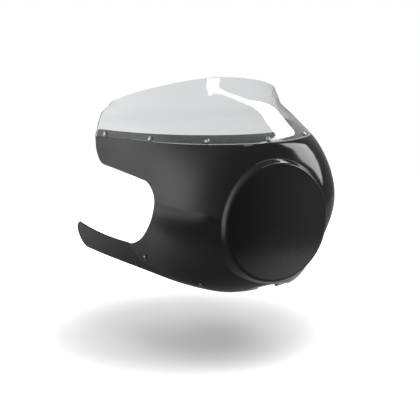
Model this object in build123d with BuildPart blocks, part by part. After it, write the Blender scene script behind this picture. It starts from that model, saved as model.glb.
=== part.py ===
from build123d import *
from math import cos, radians, sin, tan
import os

os.makedirs("parts", exist_ok=True)

# Millimetres. Front to -Y, the rider's side to +Y, the bike's left to +X, up to +Z.
# Origin: centre of the headlight blank's flat face.

# Sheets and the clearance between lapped sheets
wall = 3.0
screen_thickness = 3.0
panel_wall = 3.0
lap_gap = 0.5

# Headlight blank and the round boss that carries it
blank_radius = 99.0
boss_rim_radius = 6.0
boss_draft = 26.0
boss_depth = 32.0
boss_hollow_run = 12.0
boss_root_fillet = 2.5

# The chin keeps clear of the boss: its front edge hangs below the blank's rim
chin_drop = 10.5
chin = -(blank_radius + chin_drop)

# Lap joint between the shell and the windscreen
lap_height = 135.2
screw_rise = 5.8
flange_rise = 12.0
lap_web = 6.0
rear_edge = 296.0

# Windscreen lip seen from the side: front corner and the fall of its cut to the rear
lip_y = 190.0
lip_z = 239.7
lip_fall = 0.4375
lip_corner_run = 26.0

# Outer form: plan outlines from the chin up to the windscreen's flicked lip.
# nose y, nose z, lean, half width, round depth, bluntness, flank flare, rear limit y
form_outlines = (
    (60, chin - 40.5, 0, blank_radius - 33, 90, 2.2, 14.5, 450),
    (25, chin - 10.5, 0, blank_radius - 1, 117, 2.1, 13.5, 450),
    (-6, chin + 24.5, 0, blank_radius + 8, 133, 2.2, 12.3, 450),
    (-13, -40, 0, blank_radius + 30, 133, 2.6, 10.5, 450),
    (-8, 20, 0, blank_radius + 63, 128, 2.6, 8.0, 430),
    (6, 92, 2.5, 150.7, 122, 2.56, 10.5, 400),
    (16, 117, 4, 141.7, 121, 2.4, 12.5, 385),
    (30, 141, 5.5, 125, 106, 2.0, 16.9, 370),
    (55, 154, 6.7, 122, 102, 1.95, 19.2, 362),
    (86, 167, 8, 126, 111, 2.0, 20.9, 358),
    (118, 179, 9.8, 133.7, 119, 2.05, 21.1, 355),
    (146, 190, 11.5, 142.5, 131, 2.0, 20.7, 352),
    (166, 206, 16, 151, 144, 2.0, 18.6, 350),
    (176, 219, 19.5, 152.5, 138, 2.0, 18.0, 348),
    (183, 229.5, 21.5, 155, 119, 1.85, 14.5, 346),
    (190, 239.7, 23.6, 156, 100, 1.7, 11.0, 344),
    (197, 250, 25.7, 157, 82, 1.6, 7.5, 342),
)
outline_steps = 6
outline_stretch = 8

# Level cuts through the form, from which the inner faces are drawn
cut_drop = 35.5
cut_pitch = 10.0
cut_steps = 8
cut_stretch = 1000

# Room for trimming: how far blanks reach past the finished edges
half_span = 300.0
front_limit = -60.0
top_limit = 300.0
past = 15.0
trim_over = 1.0

# Fasteners
shank_radius = 2.0
hole_clearance = 0.4
head_radius = 3.9
head_height = 2.3
head_edge = 0.5
socket_radius = 1.45
socket_depth = 1.2
washer_radius = 4.8
washer_thickness = 0.8
washer_lift = 0.06
nut_radius = 4.05
nut_height = 3.2
nut_clearance = 0.05
thread_over = 1.2
backing_gap = 0.6
screw_runs = (0, 108, 223, 339)
panel_screw_spots = ((154.5, 206.8, -82.2), (blank_radius + 5.3, 82.9, chin - 1.1))

# Layers measured inwards from the outer form, and heights that follow the lap
lap_step = screen_thickness + lap_gap
flange_depth = lap_step + wall
panel_step = wall + lap_gap
panel_depth = panel_step + panel_wall
screw_height = lap_height + screw_rise
flange_height = lap_height + flange_rise
cut_low = chin - cut_drop
cut_count = int((flange_height + 2 * past - cut_low) / cut_pitch)


def half_width_at(back, half_width, round_depth, bluntness, flare):
    """Half width of a plan outline at a distance back from its nose."""
    rest = 1 - min(back / round_depth, 1)
    return half_width * (1 - rest**bluntness) ** (1 / bluntness) + back * tan(radians(flare))


def plan_face(plane, right, stretch):
    """Closed plan outline from half its points, mirrored; one rule spaces the points along every outline."""
    left = [Vector(-point.X, point.Y) for point in reversed(right[1:])]
    count = len(right) - 1
    spacing = [k * (abs(k) + stretch) for k in range(-count, count + 1)]
    with BuildSketch(plane) as outline:
        with BuildLine():
            curve = Edge.make_spline([*left, *right], parameters=spacing)
            add(curve)
            Line(curve @ 1, curve @ 0)
        make_face()
    return outline.sketch


def form_outline(nose_y, nose_z, lean, half_width, round_depth, bluntness, flare, rear_y):
    """One plan outline of the outer form, on a plane that leans down to the rear."""
    plane = Plane(
        origin=(0, nose_y, nose_z),
        x_dir=(1, 0, 0),
        z_dir=(0, sin(radians(lean)), cos(radians(lean))),
    )
    depth = (rear_y - nose_y) / cos(radians(lean))
    right = [Vector(0, 0)]
    for step in range(1, outline_steps + 1):
        back = depth * (step / outline_steps) ** 2
        right.append(Vector(half_width_at(back, half_width, round_depth, bluntness, flare), back))
    return plan_face(plane, right, outline_stretch)


with BuildPart() as form:
    loft([form_outline(*values) for values in form_outlines])
skin = form.faces().sort_by(SortBy.AREA)[-1]


def level_cut(height):
    """The skin's outline at one height."""
    cut = section(form.part, section_by=Plane.XY.offset(height))
    return cut.edges().filter_by(GeomType.LINE, reverse=True).sort_by(SortBy.LENGTH)[-1]


level_heights = [cut_low + cut_pitch * k for k in range(cut_count)]
level_spots = []
for height in level_heights:
    edge = level_cut(height)
    spots = [edge.position_at(0.5 + 0.5 * step / cut_steps) for step in range(cut_steps + 1)]
    level_spots.append([(spot, skin.normal_at(spot)) for spot in spots])


def form_below(depth):
    """The lower form moved inwards by a depth: each cut's points go in, in their plane, to that depth."""
    cuts = []
    for height, spots in zip(level_heights, level_spots):
        right = []
        for spot, normal in spots:
            across = Vector(normal.X, normal.Y)
            across = across * (1 / across.length**2)
            reached = skin.distance_to(Vertex(*(spot - across * depth)))
            moved = spot - across * (depth * depth / reached)
            right.append(Vector(abs(moved.X), moved.Y))
        right[0] = Vector(0, right[0].Y)
        right[-1] = right[-1] + (right[-1] - right[-2]).normalized() * past
        cuts.append(plan_face(Plane.XY.offset(height), right, cut_stretch))
    with BuildPart() as inner:
        loft(cuts)
    return inner.part


def block_of(side):
    """The outer form trimmed to an outline seen from the side."""
    with BuildPart() as block:
        add(form.part)
        extrude(side, amount=half_span, both=True, mode=Mode.INTERSECT)
    return block.part


def skin_of(block):
    """The block's face that lies on the outer form."""
    return block.faces().filter_by(GeomType.BSPLINE).sort_by(SortBy.AREA)[-1]


# Outlines seen from the side, y back and z up
corner_y = rear_edge - lip_corner_run
corner_z = lip_z - lip_fall * (corner_y - lip_y)
with BuildSketch(Plane.YZ) as screen_side:
    with BuildLine():
        low_edge = Polyline(
            (front_limit, top_limit),
            (front_limit, lap_height - past),
            (rear_edge, lap_height - past),
        )
        rear_side = Line(low_edge @ 1, (rear_edge, corner_z - 36.7))
        lip_cut = Spline(
            rear_side @ 1,
            (rear_edge - 1.5, corner_z - 21.7),
            (rear_edge - 9, corner_z - 8.2),
            (corner_y, corner_z),
            ((corner_y + lip_y) / 2, (corner_z + lip_z) / 2),
            (lip_y, lip_z),
        )
        Polyline(
            lip_cut @ 1,
            (lip_y - past, lip_z + lip_fall * past),
            (lip_y - past, top_limit),
            (front_limit, top_limit),
        )
    make_face()

with BuildSketch(Plane.YZ) as shell_side:
    with BuildLine():
        Polyline((front_limit, flange_height), (rear_edge, flange_height), (rear_edge, 108))
        Spline((rear_edge, 108), (rear_edge - 7, 91.4), (rear_edge - 26, 84.2))
        Line((rear_edge - 26, 84.2), (150, 71))
        Spline(
            *[(150, 71), (123, 60.5), (111, 41), (117, 18.7)],
            *[(135, -1.5), (165, -23.5), (218, -53.7), (246, -62)],
        )
        Spline(
            *[(246, -62), (242, -75.5), (224, -87.5), (198, chin + 13.1)],
            *[(145, chin + 5.1), (104, chin - 2.3), (65, chin - 12)],
        )
        Spline((65, chin - 12), (49, chin - 14), (30, chin - 8.5), (14, chin))
        Polyline((14, chin), (front_limit, chin), (front_limit, flange_height))
    make_face()

with BuildSketch(Plane.YZ) as panel_side:
    with BuildLine():
        Polyline((front_limit, chin + 9.5), (30, chin + 6.5), (200, -70), (262, -64))
        Spline((262, -64), (305, -62.5), (367, -54.5), (405, -45.5))
        Spline((405, -45.5), (417, -60), (413, -82.7), (388, -97))
        Spline(
            *[(388, -97), (266, -108.6), (157, chin - 9), (85, chin - 18.8)],
            *[(57, chin - 22), (42, chin - 18.5), (22, chin - 5)],
        )
        Polyline((22, chin - 5), (front_limit, chin - 1.5), (front_limit, chin + 9.5))
    make_face()

with BuildSketch(Plane.YZ) as shell_blank_side:
    with BuildLine():
        Polyline(
            (front_limit, cut_low + trim_over),
            (rear_edge + past, cut_low + trim_over),
            (rear_edge + past, lap_height),
            (front_limit, lap_height),
            close=True,
        )
    make_face()


def boss_block(face_y, rim_radius, depth):
    """Round block with a flat front, a rounded rim and a drafted side, turned about the lamp's axis."""
    with BuildSketch(Plane.XY) as profile:
        with BuildLine():
            Line((0, face_y), (blank_radius, face_y))
            rim = JernArc((blank_radius, face_y), (1, 0), rim_radius, 90 - boss_draft)
            run = depth - (rim @ 1).Y
            side = Line(rim @ 1, (rim @ 1) + Vector(run * tan(radians(boss_draft)), run))
            Polyline(side @ 1, (0, depth), (0, face_y))
        make_face()
    with BuildPart() as block:
        revolve(profile.sketch, axis=Axis.Y)
    return block.part


def seat(spot):
    """Plane on the skin at the place nearest to a spot, facing outwards."""
    place = skin.closest_points(Vector(*spot))[0]
    return Plane(origin=place, z_dir=skin.normal_at(place))


lap_line = level_cut(screw_height)
lap_seats = []
for run in screw_runs:
    for side in (1, -1) if run else (1,):
        lap_seats.append(seat(lap_line.position_at(0.5 + side * run / lap_line.length)))
panel_seats = []
for x, y, z in panel_screw_spots:
    panel_seats.extend([seat((x, y, z)), seat((-x, y, z))])
hole_radius = shank_radius + hole_clearance
drill_length = 4 * flange_depth

# Main shell: nose, flanks, headlight boss and the stepped flange under the windscreen
with BuildPart() as flange_core:
    add(form_below(lap_step))
    split(bisect_by=Plane.XY.offset(lap_height - trim_over), keep=Keep.TOP)
    split(bisect_by=Plane.XY.offset(flange_height), keep=Keep.BOTTOM)

with BuildPart() as low_cavity:
    add(form_below(wall))
    split(bisect_by=Plane.XY.offset(lap_height - lap_web), keep=Keep.BOTTOM)
    split(bisect_by=Plane.XZ.offset(-wall), keep=Keep.BOTTOM)

with BuildPart() as flange_cavity:
    add(form_below(flange_depth))
    split(bisect_by=Plane.XY.offset(lap_height - lap_web - trim_over), keep=Keep.TOP)

with BuildPart() as main_shell:
    add(block_of(shell_blank_side.sketch))
    split(bisect_by=Plane.XZ, keep=Keep.BOTTOM)
    add(boss_block(0, boss_rim_radius, boss_depth))
    root = main_shell.faces().filter_by(GeomType.CONE)[0].edges().sort_by(Axis.Y)[-1]
    fillet(root, boss_root_fillet)
    add(flange_core.part)
    add(low_cavity.part, mode=Mode.SUBTRACT)
    add(flange_cavity.part, mode=Mode.SUBTRACT)
    add(boss_block(wall, boss_rim_radius - wall, boss_depth + boss_hollow_run), mode=Mode.SUBTRACT)
    extrude(shell_side.sketch, amount=half_span, both=True, mode=Mode.INTERSECT)
    with Locations(*[Location(plane) for plane in lap_seats + panel_seats]):
        Cylinder(hole_radius, drill_length, mode=Mode.SUBTRACT)

# Windscreen: one clear sheet flush with the shell, its lower edge level on the step
with BuildPart() as windscreen:
    thicken(skin_of(block_of(screen_side.sketch)), amount=-screen_thickness)
    split(bisect_by=Plane.XY.offset(lap_height + lap_gap), keep=Keep.TOP)
    with Locations(*[Location(plane) for plane in lap_seats]):
        Cylinder(hole_radius, drill_length, mode=Mode.SUBTRACT)

# Lower panel: chin and wings, tucked up inside the shell's lower edge
with BuildPart() as panel_spacer:
    thicken(skin_of(block_of(panel_side.sketch)), amount=-panel_step)
with BuildPart() as lower_panel:
    thicken(panel_spacer.faces().filter_by(GeomType.OFFSET).sort_by(SortBy.AREA)[-1], amount=panel_wall)
    with Locations(*[Location(plane) for plane in panel_seats]):
        Cylinder(hole_radius, drill_length, mode=Mode.SUBTRACT)

# Fasteners, each drawn on its own seat with the outside up
head_seat = washer_lift + washer_thickness


def screw(stack):
    """Button-head screw through a stack of sheets, long enough for washer and nut."""
    tip = -(stack + backing_gap + washer_thickness + nut_height + thread_over)
    with BuildPart() as piece:
        with BuildSketch(Plane.XZ):
            with BuildLine():
                Polyline((0, tip), (shank_radius, tip), (shank_radius, head_seat))
                under_head = Line((shank_radius, head_seat), (head_radius, head_seat))
                Line(under_head @ 1, (head_radius, head_seat + head_edge))
                dome = RadiusArc(
                    (head_radius, head_seat + head_edge),
                    (0, head_seat + head_height),
                    -(head_radius**2 + (head_height - head_edge) ** 2) / (2 * (head_height - head_edge)),
                )
                Line(dome @ 1, (0, tip))
            make_face()
        revolve(axis=Axis.Z)
        with BuildSketch(Plane.XY.offset(head_seat + head_height)):
            RegularPolygon(socket_radius, 6)
        extrude(amount=-socket_depth, mode=Mode.SUBTRACT)
    return piece.part


def ring_piece(base, outer_radius, height, bore_radius, sides=0):
    """Washer, or with sides a nut, standing on a base height over the seat."""
    with BuildPart() as piece:
        with BuildSketch(Plane.XY.offset(base)):
            if sides:
                RegularPolygon(outer_radius, sides)
            else:
                Circle(outer_radius)
            Circle(bore_radius, mode=Mode.SUBTRACT)
        extrude(amount=height)
    return piece.part


def placed(piece, seats, label):
    """One separate copy of a fastener on every seat, written out as a group."""
    with BuildPart() as group:
        with Locations(*[Location(plane) for plane in seats]):
            add(piece)
    group.part.label = label
    export_step(group.part, f"parts/{label}.step")


for piece, label in ((main_shell, "main_shell"), (windscreen, "windscreen"), (lower_panel, "lower_panel")):
    piece.part.label = label
    export_step(piece.part, f"parts/{label}.step")

fastener_sets = (
    ("windscreen", lap_seats, flange_depth),
    ("lower_panel", panel_seats, panel_depth),
)
for name, seats, stack in fastener_sets:
    washer_base = -(stack + backing_gap + washer_thickness)
    nut_base = washer_base - nut_height
    bore = shank_radius + nut_clearance
    placed(screw(stack), seats, f"{name}_screws")
    placed(ring_piece(washer_lift, washer_radius, washer_thickness, hole_radius), seats, f"{name}_washers")
    placed(
        ring_piece(washer_base, washer_radius, washer_thickness, hole_radius),
        seats,
        f"{name}_backing_washers",
    )
    placed(ring_piece(nut_base, nut_radius, nut_height, bore, 6), seats, f"{name}_nuts")
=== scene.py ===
from math import cos, radians, sin

import bpy
import numpy as np
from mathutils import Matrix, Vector

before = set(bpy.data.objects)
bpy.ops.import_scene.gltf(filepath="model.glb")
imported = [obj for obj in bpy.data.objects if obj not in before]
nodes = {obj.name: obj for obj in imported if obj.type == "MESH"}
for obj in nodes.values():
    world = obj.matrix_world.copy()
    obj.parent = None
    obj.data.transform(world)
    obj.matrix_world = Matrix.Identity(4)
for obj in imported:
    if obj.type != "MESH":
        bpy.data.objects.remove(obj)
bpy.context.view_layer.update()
scene = bpy.context.scene

mm = 0.001


def linear(hex_colour):
    """sRGB hex to linear: a channel up to 0.04045 over 12.92, others ((c + 0.055) / 1.055) to the 2.4."""
    channels = [int(hex_colour[k : k + 2], 16) / 255 for k in (1, 3, 5)]
    return [c / 12.92 if c <= 0.04045 else ((c + 0.055) / 1.055) ** 2.4 for c in channels] + [1.0]


white = linear("#ffffff")


def add_node(tree, kind, settings=None, inputs=None, links=None):
    """Adds one node to a tree, with its own settings, socket values and links from other nodes' sockets."""
    node = tree.nodes.new(kind)
    for name, value in (settings or {}).items():
        setattr(node, name, value)
    for name, value in (inputs or {}).items():
        node.inputs[name].default_value = value
    for name, socket in (links or {}).items():
        tree.links.new(socket, node.inputs[name])
    return node


def new_finish(name, **sockets):
    """A material of one shader, its socket values given by name with underscores for spaces."""
    material = bpy.data.materials.new(name)
    material.use_nodes = True
    shader = material.node_tree.nodes["Principled BSDF"]
    for socket, value in sockets.items():
        shader.inputs[socket.replace("_", " ")].default_value = value
    return material


# Most of a noise texture's values lie between these
noise_low = 0.3
noise_high = 0.7


def uneven(material, spot, least, most, ripple, depth):
    """Makes a surface uneven: roughness drifts from least to most in spots, and ripples bend reflections."""
    tree = material.node_tree
    shader = tree.nodes["Principled BSDF"]
    place = add_node(tree, "ShaderNodeTexCoord")
    haze = add_node(
        tree,
        "ShaderNodeTexNoise",
        inputs={"Scale": 1 / spot, "Detail": 3.0},
        links={"Vector": place.outputs["Object"]},
    )
    dulled = add_node(
        tree,
        "ShaderNodeMapRange",
        inputs={"From Min": noise_low, "From Max": noise_high, "To Min": least, "To Max": most},
        links={"Value": haze.outputs[0]},
    )
    tree.links.new(dulled.outputs[0], shader.inputs["Roughness"])
    waves = add_node(
        tree,
        "ShaderNodeTexNoise",
        inputs={"Scale": 1 / ripple, "Detail": 1.0},
        links={"Vector": place.outputs["Object"]},
    )
    bent = add_node(
        tree,
        "ShaderNodeBump",
        inputs={"Strength": 1.0, "Distance": depth},
        links={"Height": waves.outputs[0]},
    )
    tree.links.new(bent.outputs[0], shader.inputs["Normal"])


# Vacuum-formed ABS sheet with its own gloss: near-black, with clear, mirror-like reflections. Handling
# leaves a haze in spots of 40 mm, and the sheet keeps low ripples of 14 mm from its mould.
black_abs = new_finish("gloss_abs_vacuum_formed", Base_Color=linear("#080809"), IOR=1.54)
uneven(black_abs, spot=40 * mm, least=0.08, most=0.13, ripple=14 * mm, depth=0.05 * mm)

# The lower panel's ABS sheet, a painted-shade copy of the shell's: a shade darker in colour and weaker in its
# reflections, painted shade so that the shell's edge reads against it, and softer in its reflections from a
# higher roughness.
shaded_abs = new_finish(
    "abs_vacuum_formed_painted_shade", Base_Color=linear("#050506"), IOR=1.54, Specular_IOR_Level=0.32
)
uneven(shaded_abs, spot=30 * mm, least=0.13, most=0.2, ripple=12 * mm, depth=0.06 * mm)

# Polished clear acrylic, drape-formed and lightly smoked: see-through, with a bright sheen off both faces.
clear_acrylic = new_finish(
    "clear_acrylic_drape_formed",
    Base_Color=linear("#d9dbdc"),
    Roughness=0.0,
    IOR=1.49,
    Transmission_Weight=1.0,
)

# Saw-cut acrylic: the screen's lower edge is frosted, so it shows through the clear face as a pale line.
# The saw marks are drawn 1.2 mm coarse to show.
sawn_acrylic = new_finish("clear_acrylic_saw_cut", Base_Color=linear("#f2f3f3"), IOR=1.49)
uneven(sawn_acrylic, spot=4 * mm, least=0.45, most=0.65, ripple=1.2 * mm, depth=0.05 * mm)

# Turned stainless steel: bright domes that pick up the lights as small glints. Turning marks are drawn
# 0.6 mm coarse to show.
stainless = new_finish("stainless_steel_turned", Base_Color=linear("#c4c4c0"), Metallic=1.0)
uneven(stainless, spot=1.5 * mm, least=0.18, most=0.27, ripple=0.6 * mm, depth=0.01 * mm)

# Black-oxide steel, oiled: dark heads that catch the side light as one small glint each. Tumbling marks
# are drawn 0.6 mm coarse to show.
black_steel = new_finish("black_oxide_steel", Base_Color=linear("#77777a"), Metallic=1.0)
uneven(black_steel, spot=1.5 * mm, least=0.21, most=0.3, ripple=0.6 * mm, depth=0.01 * mm)

# Moulded natural nylon: a milky, half see-through washer that blurs the dark flange below it, with a
# grain drawn 1 mm coarse to show.
natural_nylon = new_finish(
    "natural_nylon_moulded", Base_Color=linear("#b9b8b2"), IOR=1.53, Transmission_Weight=0.85
)
uneven(natural_nylon, spot=2 * mm, least=0.25, most=0.36, ripple=1 * mm, depth=0.01 * mm)

# Moulded black nylon: a matt dark washer, with the same grain.
black_nylon = new_finish("black_nylon_moulded", Base_Color=linear("#121213"), IOR=1.53)
uneven(black_nylon, spot=2 * mm, least=0.44, most=0.56, ripple=1 * mm, depth=0.01 * mm)

finishes = {
    "main_shell": black_abs,
    "windscreen": clear_acrylic,
    "lower_panel": shaded_abs,
    "windscreen_screws": stainless,
    "windscreen_washers": natural_nylon,
    "windscreen_backing_washers": stainless,
    "windscreen_nuts": stainless,
    "lower_panel_screws": black_steel,
    "lower_panel_washers": black_nylon,
    "lower_panel_backing_washers": stainless,
    "lower_panel_nuts": stainless,
}
for name, material in finishes.items():
    nodes[name].data.materials.clear()
    nodes[name].data.materials.append(material)

# The screen's lowest faces, with all three corners at its lowest height, take the saw-cut finish
edge_margin = 0.1 * mm
screen = nodes["windscreen"].data
screen.materials.append(sawn_acrylic)
spots = np.empty(len(screen.vertices) * 3)
screen.vertices.foreach_get("co", spots)
heights = spots[2::3]
corners = np.empty(len(screen.loops), int)
screen.loops.foreach_get("vertex_index", corners)
low_corners = heights[corners] < heights.min() + edge_margin
on_edge = low_corners.reshape(-1, 3).all(axis=1)
screen.polygons.foreach_set("material_index", on_edge.astype(int))
screen.update()


def bare_tree(owner):
    """The emptied node tree of a material or a world."""
    owner.use_nodes = True
    owner.node_tree.nodes.clear()
    return owner.node_tree


def ray_kinds(tree):
    """The kinds of ray, and a level: 1 for a ray from the camera or through clear sheet, 0 for others."""
    rays = add_node(tree, "ShaderNodeLightPath")
    direct = add_node(
        tree,
        "ShaderNodeMath",
        settings={"operation": "MAXIMUM"},
        links={0: rays.outputs["Is Camera Ray"], 1: rays.outputs["Is Transmission Ray"]},
    )
    return rays, direct


def eased_level(tree, place, measure, spot, span, levels):
    """A level that eases between two values over a span of metres, as 3 t squared less 2 t cubed.

    What the span measures is the distance from a spot, or the reach along a direction.
    """
    reach = add_node(
        tree,
        "ShaderNodeVectorMath",
        settings={"operation": measure},
        inputs={1: spot},
        links={0: place.outputs["Object"]},
    )
    return add_node(
        tree,
        "ShaderNodeMapRange",
        settings={"interpolation_type": "SMOOTHSTEP"},
        inputs={"From Min": span[0], "From Max": span[1], "To Min": levels[0], "To Max": levels[1]},
        links={"Value": reach.outputs["Value"]},
    )


# Floor: a round sheet below the floating cowl
floor_drop = -0.28
floor_radius = 2.4
floor_hole = 1 * mm
floor_rings = 12
floor_spokes = 96

# Painted reflection: what gloss surfaces mirror of the floor is a painted glow, each level with its measure,
# its spot or direction,
# its span and its two values: a painted pool of light ahead of the nose on the left, a painted bright stretch
# far out on the right, a faint painted pool of light below the cowl, a left half painted lighter than the
# right, and a slight painted rise far out in the right half.
right_way = (-0.9, 0.43, 0.0)
left_way = (0.839, 0.545, 0.0)
painted_reflection_levels = [
    ("DISTANCE", (0.58, -0.50, floor_drop), (0.15, 0.40), (0.9, 0.0)),
    ("DOT_PRODUCT", right_way, (0.4, 1.08), (0.0, 1.05)),
    ("DISTANCE", (-0.1, 0.2, floor_drop), (0.25, 0.75), (0.12, 0.0)),
    ("DOT_PRODUCT", left_way, (-0.14, 0.16), (0.09, 0.42)),
    ("DOT_PRODUCT", left_way, (-0.7, -0.25), (0.1, 0.0)),
]
# How far a painted white glow lifts the paper to white for the eye: little where the cowl's cast shadow lies,
# wholly outside it, so the glow sets the shadow's edge
painted_white_glow = ("DISTANCE", (0.0, 0.32, floor_drop), (0.18, 0.54), (0.06, 1.0))

# Matt white paper with painted light on top: to the eye a painted glow fades it from the cowl's soft cast
# shadow to pure white, and gloss surfaces mirror not the lit paper but a painted glow: a dim sheet with
# painted pools of light.
paper = bpy.data.materials.new("white_paper_painted_glow")
tree = bare_tree(paper)
rays, direct = ray_kinds(tree)
place = add_node(tree, "ShaderNodeTexCoord")
# Painted reflection: the levels add up to one glow strength
first_level, *other_levels = [eased_level(tree, place, *level) for level in painted_reflection_levels]
painted_reflection_level = first_level
for level in other_levels:
    painted_reflection_level = add_node(
        tree,
        "ShaderNodeMath",
        settings={"operation": "ADD"},
        links={0: painted_reflection_level.outputs[0], 1: level.outputs[0]},
    )
# Painted reflection: glossy rays see this glow in place of the lit paper
mirrored = add_node(
    tree, "ShaderNodeEmission", inputs={"Color": white}, links={"Strength": painted_reflection_level.outputs[0]}
)
matt = add_node(tree, "ShaderNodeBsdfDiffuse", inputs={"Color": linear("#e6e6e6")})
sheet = add_node(
    tree,
    "ShaderNodeMixShader",
    links={"Fac": rays.outputs["Is Glossy Ray"], 1: matt.outputs[0], 2: mirrored.outputs[0]},
)
# Painted white glow: its strength, for camera rays and rays through clear sheet only
painted_glow_level = eased_level(tree, place, *painted_white_glow)
painted_glow_strength = add_node(
    tree,
    "ShaderNodeMath",
    settings={"operation": "MULTIPLY"},
    links={0: direct.outputs[0], 1: painted_glow_level.outputs[0]},
)
# The painted white glow on the paper
glow = add_node(tree, "ShaderNodeEmission", inputs={"Color": white}, links={"Strength": painted_glow_strength.outputs[0]})
both = add_node(tree, "ShaderNodeAddShader", links={0: sheet.outputs[0], 1: glow.outputs[0]})
add_node(tree, "ShaderNodeOutputMaterial", links={"Surface": both.outputs[0]})


def disc(inner, outer, height, rings, spokes):
    """Points and quads of a flat disc: (r cos a, r sin a, height) at each ring radius r and spoke angle a."""
    radii = np.linspace(inner, outer, rings)
    angles = np.linspace(0, 2 * np.pi, spokes, endpoint=False)
    r, a = np.meshgrid(radii, angles)
    points = np.stack([r * np.cos(a), r * np.sin(a), np.full_like(r, height)], axis=-1).reshape(-1, 3)
    here = np.arange(spokes * rings).reshape(spokes, rings)
    ahead = np.roll(here, -1, axis=0)
    quads = np.stack([here[:, :-1], here[:, 1:], ahead[:, 1:], ahead[:, :-1]], axis=-1).reshape(-1, 4)
    return points, quads.tolist()


def sheet_object(name, points, faces, material):
    """A mesh of points and faces with one material, put into the scene."""
    mesh = bpy.data.meshes.new(name)
    mesh.from_pydata(points.tolist(), [], faces)
    mesh.materials.append(material)
    sheet = bpy.data.objects.new(name, mesh)
    scene.collection.objects.link(sheet)
    return sheet


floor_points, floor_quads = disc(floor_hole, floor_radius, floor_drop, floor_rings, floor_spokes)
floor = sheet_object("studio_floor", floor_points, floor_quads, paper)

# Studio surroundings: white behind the cowl, and for all other rays a dim room with a broad soft wall of
# light on the cowl's right. Its level is dim + spread times c + beam times c to a power, where c is the
# cosine between a ray and the way to the wall.
wall_way = (-0.963, 0.17, 0.208)
dim_level = 0.25
spread_level = 0.45
beam_level = 1.38
beam_power = 4.0
world = bpy.data.worlds.new("studio")
scene.world = world
tree = bare_tree(world)
rays, direct = ray_kinds(tree)
way = add_node(tree, "ShaderNodeTexCoord")
facing = add_node(
    tree,
    "ShaderNodeVectorMath",
    settings={"operation": "DOT_PRODUCT"},
    inputs={1: wall_way},
    links={0: way.outputs["Generated"]},
)
lit_side = add_node(
    tree,
    "ShaderNodeMath",
    settings={"operation": "MAXIMUM"},
    inputs={1: 0.0},
    links={0: facing.outputs["Value"]},
)
beam = add_node(
    tree,
    "ShaderNodeMath",
    settings={"operation": "POWER"},
    inputs={1: beam_power},
    links={0: lit_side.outputs[0]},
)
spread = add_node(
    tree,
    "ShaderNodeMath",
    settings={"operation": "MULTIPLY_ADD"},
    inputs={1: spread_level, 2: dim_level},
    links={0: lit_side.outputs[0]},
)
wall_light = add_node(
    tree,
    "ShaderNodeMath",
    settings={"operation": "MULTIPLY_ADD"},
    inputs={1: beam_level},
    links={0: beam.outputs[0], 2: spread.outputs[0]},
)
around = add_node(
    tree, "ShaderNodeBackground", inputs={"Color": white}, links={"Strength": wall_light.outputs[0]}
)
behind = add_node(tree, "ShaderNodeBackground", inputs={"Color": white, "Strength": 1.0})
backdrop = add_node(
    tree, "ShaderNodeMixShader", links={"Fac": direct.outputs[0], 1: around.outputs[0], 2: behind.outputs[0]}
)
add_node(tree, "ShaderNodeOutputWorld", links={"Surface": backdrop.outputs[0]})

# Top light: one large soft square above and ahead of the cowl. It makes the shadow and isn't mirrored.
top_place = Vector((0.1, -0.85, 1.75))
top_target = Vector((0.0, 0.2, floor_drop))
top_data = bpy.data.lights.new("top_light", "AREA")
top_data.size = 1.7
top_data.energy = 57
top = bpy.data.objects.new("top_light", top_data)
top.location = top_place
top.rotation_euler = (top_target - top_place).to_track_quat("-Z", "Y").to_euler()
top.visible_glossy = False
top.visible_transmission = False
scene.collection.objects.link(top)

# Lit diffuser cloth: even and bright, so that gloss black and clear sheet show it as clean highlights.
panel_strength = 5.5
panel_cloth = bpy.data.materials.new("lit_diffuser_cloth")
tree = bare_tree(panel_cloth)
glow = add_node(tree, "ShaderNodeEmission", inputs={"Color": white, "Strength": panel_strength})
add_node(tree, "ShaderNodeOutputMaterial", links={"Surface": glow.outputs[0]})

# Two soft panels on the cowl's left, on one plane that faces the cowl: a tall one that lights the nose, and
# a long bent strip whose streak runs down the windscreen. Corners are across and up from its centre.
panel_aim = np.array([0.0, 0.05, 0.1])
panel_reach = 1.6
panel_turn = radians(-18)
panel_rise = radians(24)
panel_across = np.array([-sin(panel_turn), cos(panel_turn), 0.0])
panel_away = np.array([cos(panel_rise) * cos(panel_turn), cos(panel_rise) * sin(panel_turn), sin(panel_rise)])
panel_up = np.cross(panel_away, panel_across)
panel_centre = panel_aim + panel_reach * panel_away
nose_panel = np.array(
    [(0.03, -0.67), (0.40, -0.12), (0.64, 0.13), (0.20, 0.32), (-0.26, 0.50), (-0.32, 0.18)]
)
streak_upper = np.array(
    [(-0.64, 1.95), (-0.50, 1.55), (-0.12, 1.25), (0.50, 1.10), (1.20, 1.00), (2.00, 0.95), (2.80, 0.85)]
)
streak_lower = np.array(
    [(-0.84, 1.85), (-0.76, 1.48), (-0.44, 1.18), (0.30, 0.84), (1.00, 0.72), (1.60, 0.50), (3.00, 0.33)]
)


def soft_panel(name, outline, faces):
    """A lit panel, seen only in reflections: centre + across times the first value + up times the second."""
    points = panel_centre + outline[:, :1] * panel_across + outline[:, 1:] * panel_up
    panel = sheet_object(name, points, faces, panel_cloth)
    panel.visible_camera = False
    panel.visible_diffuse = False
    panel.visible_shadow = False


soft_panel("nose_panel", nose_panel, [list(range(len(nose_panel)))])
run = len(streak_upper)
soft_panel(
    "streak_panel",
    np.concatenate([streak_upper, streak_lower]),
    [[k, k + 1, run + k + 1, run + k] for k in range(run - 1)],
)

# Camera at the photograph's angle: 1.7 m away, a little above and to the right of the cowl's nose
camera_data = bpy.data.cameras.new("camera")
camera_data.sensor_width = 36.0
camera_data.lens = 85.11
camera = bpy.data.objects.new("camera", camera_data)
camera.location = (-0.9115, -1.3929, 0.3447)
camera.rotation_euler = (radians(79.085), radians(0.743), radians(-29.353))
scene.collection.objects.link(camera)
scene.camera = camera

scene.view_settings.view_transform = "Standard"
